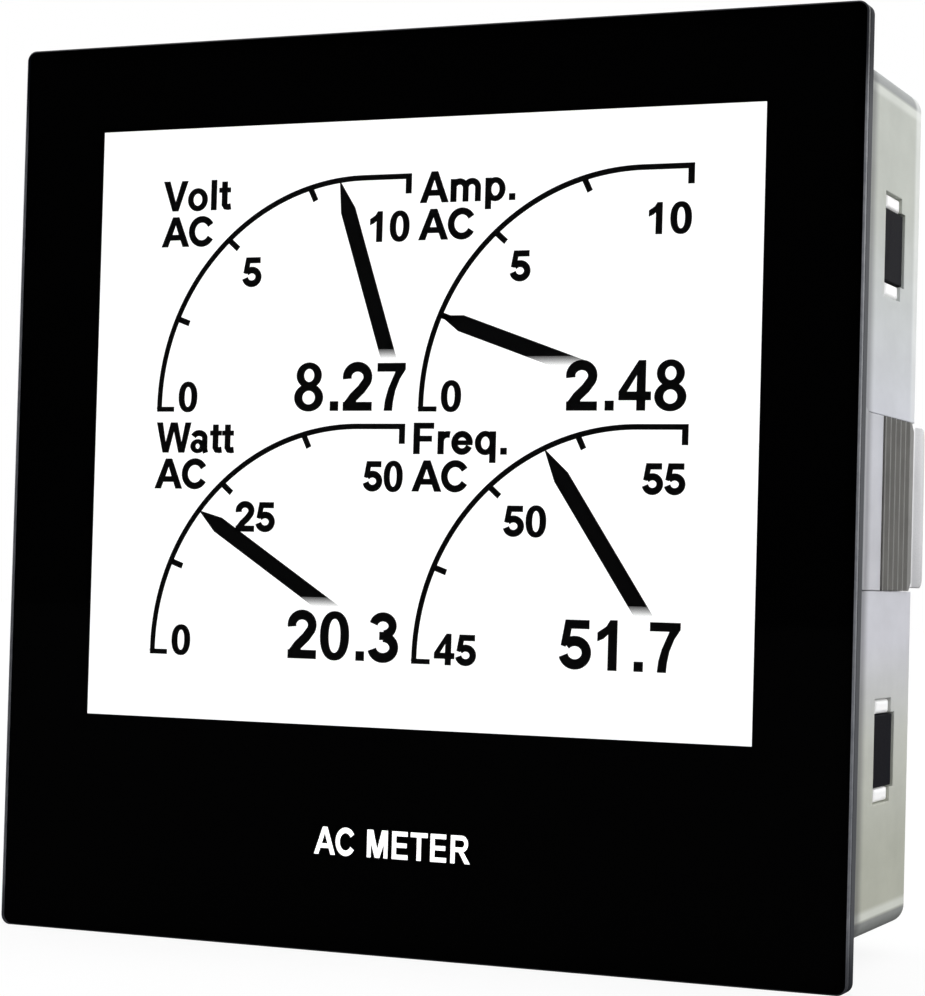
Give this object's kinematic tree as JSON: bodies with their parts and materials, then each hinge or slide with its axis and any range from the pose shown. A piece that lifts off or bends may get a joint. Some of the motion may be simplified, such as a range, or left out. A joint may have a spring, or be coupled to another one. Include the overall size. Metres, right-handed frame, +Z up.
{
  "type": "square panel meter",
  "caption": "Square panel meter with a lit graphic display of four quarter-circle dials, side mounting clips, and plug-in screw terminals on the rear.",
  "frame": {"origin": "centre of the panel cut-out, in the plane of the panel's front surface, where the gasket bears", "axes": "seen from the front, +X to the right and +Z up; +Y runs back through the panel, so the display faces -Y"},
  "size_m": [0.072, 0.0335, 0.072],
  "materials": {
    "clear_window": "clear, glossy",
    "black_print": "black print behind the window",
    "gasket_rubber": "matte",
    "case_grey": "light grey, slightly translucent, fine matte grain",
    "frame_black": "black, fine matte grain",
    "label_film": "silver-grey film, blank",
    "white_plastic": "white, satin",
    "polarizer_film": "clear film",
    "display_glass": "clear",
    "flex_amber": "amber polyimide film",
    "light_guide_clear": "clear acrylic",
    "circuit_board": "green solder resist",
    "led_body": "white body, pale yellow lens",
    "plated_steel": "zinc or nickel plated",
    "chip_black": "black moulding",
    "capacitor_can": "bare can",
    "shunt_alloy": "copper-nickel resistance alloy",
    "connector_ivory": "ivory moulding",
    "button_grey": "dark grey",
    "terminal_green": "green polyamide, satin",
    "plated_brass": "tin plated",
    "grip_grey": "grey, fine ribs",
    "spring_steel": "bright"
  },
  "bodies": {
    "case": {"backlight_board": "circuit_board", "backlight_leds": "led_body", "board_screws": "plated_steel", "chip_resistors": "chip_black", "crystal_oscillator": "capacitor_can", "current_shunt": "shunt_alloy", "dc_converter": "chip_black", "diffuser_sheet": "white_plastic", "display_frame": "frame_black", "electrolytic_capacitors": "capacitor_can", "flex_connector": "connector_ivory", "front_mask": "black_print", "front_window": "clear_window", "housing": "case_grey", "lcd_flex_cable": "flex_amber", "lcd_front_glass": "display_glass", "lcd_front_polarizer": "polarizer_film", "lcd_rear_glass": "display_glass", "lcd_rear_polarizer": "polarizer_film", "light_guide": "light_guide_clear", "main_board": "circuit_board", "measuring_header": "terminal_green", "measuring_header_pins": "plated_brass", "panel_gasket": "gasket_rubber", "processor_chip": "chip_black", "rear_label": "label_film", "reflector_sheet": "white_plastic", "reflector_tray": "white_plastic", "small_chips": "chip_black", "supply_header": "terminal_green", "supply_header_pins": "plated_brass", "switch_bodies": "chip_black", "usb_shell": "plated_steel", "usb_tongue": "chip_black"},
    "clip_right": {"clip_arm_right": "case_grey", "clip_grip_right": "grip_grey", "clip_spring_right": "spring_steel"},
    "clip_left": {"clip_arm_left": "case_grey", "clip_grip_left": "grip_grey", "clip_spring_left": "spring_steel"},
    "button_1": {"button_1_cap": "button_grey", "button_1_plunger": "chip_black"},
    "button_2": {"button_2_cap": "button_grey", "button_2_plunger": "chip_black"},
    "measuring_connector": {"measuring_plug": "terminal_green", "measuring_contacts": "plated_brass"},
    "supply_connector": {"supply_plug": "terminal_green", "supply_contacts": "plated_brass"},
    "measuring_screw_1": {"measuring_screw_1": "plated_steel"},
    "measuring_clamp_1": {"measuring_clamp_1": "plated_brass"},
    "measuring_screw_2": {"measuring_screw_2": "plated_steel"},
    "measuring_clamp_2": {"measuring_clamp_2": "plated_brass"},
    "measuring_screw_3": {"measuring_screw_3": "plated_steel"},
    "measuring_clamp_3": {"measuring_clamp_3": "plated_brass"},
    "measuring_screw_4": {"measuring_screw_4": "plated_steel"},
    "measuring_clamp_4": {"measuring_clamp_4": "plated_brass"},
    "supply_screw_1": {"supply_screw_1": "plated_steel"},
    "supply_clamp_1": {"supply_clamp_1": "plated_brass"},
    "supply_screw_2": {"supply_screw_2": "plated_steel"},
    "supply_clamp_2": {"supply_clamp_2": "plated_brass"}
  },
  "joints": [
    {"name": "clip_right_slide", "type": "slide", "parent": "case", "child": "clip_right", "axis": [0, 1, 0], "range_m": [-0.0014, 0.012]},
    {"name": "clip_left_slide", "type": "slide", "parent": "case", "child": "clip_left", "axis": [0, 1, 0], "range_m": [-0.0014, 0.012]},
    {"name": "button_1_press", "type": "slide", "parent": "case", "child": "button_1", "axis": [0, -1, 0], "range_m": [0, 0.0004]},
    {"name": "button_2_press", "type": "slide", "parent": "case", "child": "button_2", "axis": [0, -1, 0], "range_m": [0, 0.0004]},
    {"name": "measuring_plug_slide", "type": "slide", "parent": "case", "child": "measuring_connector", "axis": [0, 1, 0], "range_m": [0, 0.012]},
    {"name": "measuring_screw_1_turn", "type": "hinge", "parent": "measuring_connector", "child": "measuring_screw_1", "pos_m": [-0.01912, 0.0275, -0.0155], "axis": [0, 0, -1], "range_deg": [0, 1440]},
    {"name": "measuring_clamp_1_rise", "type": "slide", "parent": "measuring_connector", "child": "measuring_clamp_1", "axis": [0, 0, 1], "range_m": [0, 0.002]},
    {"name": "measuring_screw_2_turn", "type": "hinge", "parent": "measuring_connector", "child": "measuring_screw_2", "pos_m": [-0.01404, 0.0275, -0.0155], "axis": [0, 0, -1], "range_deg": [0, 1440]},
    {"name": "measuring_clamp_2_rise", "type": "slide", "parent": "measuring_connector", "child": "measuring_clamp_2", "axis": [0, 0, 1], "range_m": [0, 0.002]},
    {"name": "measuring_screw_3_turn", "type": "hinge", "parent": "measuring_connector", "child": "measuring_screw_3", "pos_m": [-0.00896, 0.0275, -0.0155], "axis": [0, 0, -1], "range_deg": [0, 1440]},
    {"name": "measuring_clamp_3_rise", "type": "slide", "parent": "measuring_connector", "child": "measuring_clamp_3", "axis": [0, 0, 1], "range_m": [0, 0.002]},
    {"name": "measuring_screw_4_turn", "type": "hinge", "parent": "measuring_connector", "child": "measuring_screw_4", "pos_m": [-0.00388, 0.0275, -0.0155], "axis": [0, 0, -1], "range_deg": [0, 1440]},
    {"name": "measuring_clamp_4_rise", "type": "slide", "parent": "measuring_connector", "child": "measuring_clamp_4", "axis": [0, 0, 1], "range_m": [0, 0.002]},
    {"name": "supply_plug_slide", "type": "slide", "parent": "case", "child": "supply_connector", "axis": [0, 1, 0], "range_m": [0, 0.012]},
    {"name": "supply_screw_1_turn", "type": "hinge", "parent": "supply_connector", "child": "supply_screw_1", "pos_m": [0.01209, 0.02637, -0.01785], "axis": [0, 0, -1], "range_deg": [0, 1440]},
    {"name": "supply_clamp_1_rise", "type": "slide", "parent": "supply_connector", "child": "supply_clamp_1", "axis": [0, 0, 1], "range_m": [0, 0.0016]},
    {"name": "supply_screw_2_turn", "type": "hinge", "parent": "supply_connector", "child": "supply_screw_2", "pos_m": [0.0159, 0.02637, -0.01785], "axis": [0, 0, -1], "range_deg": [0, 1440]},
    {"name": "supply_clamp_2_rise", "type": "slide", "parent": "supply_connector", "child": "supply_clamp_2", "axis": [0, 0, 1], "range_m": [0, 0.0016]}
  ],
  "couplings": [
    {"joint": "measuring_screw_1_turn", "follows": "measuring_clamp_1_rise", "rad_per_m": 12566},
    {"joint": "measuring_screw_2_turn", "follows": "measuring_clamp_2_rise", "rad_per_m": 12566},
    {"joint": "measuring_screw_3_turn", "follows": "measuring_clamp_3_rise", "rad_per_m": 12566},
    {"joint": "measuring_screw_4_turn", "follows": "measuring_clamp_4_rise", "rad_per_m": 12566},
    {"joint": "supply_screw_1_turn", "follows": "supply_clamp_1_rise", "rad_per_m": 15708},
    {"joint": "supply_screw_2_turn", "follows": "supply_clamp_2_rise", "rad_per_m": 15708}
  ]
}
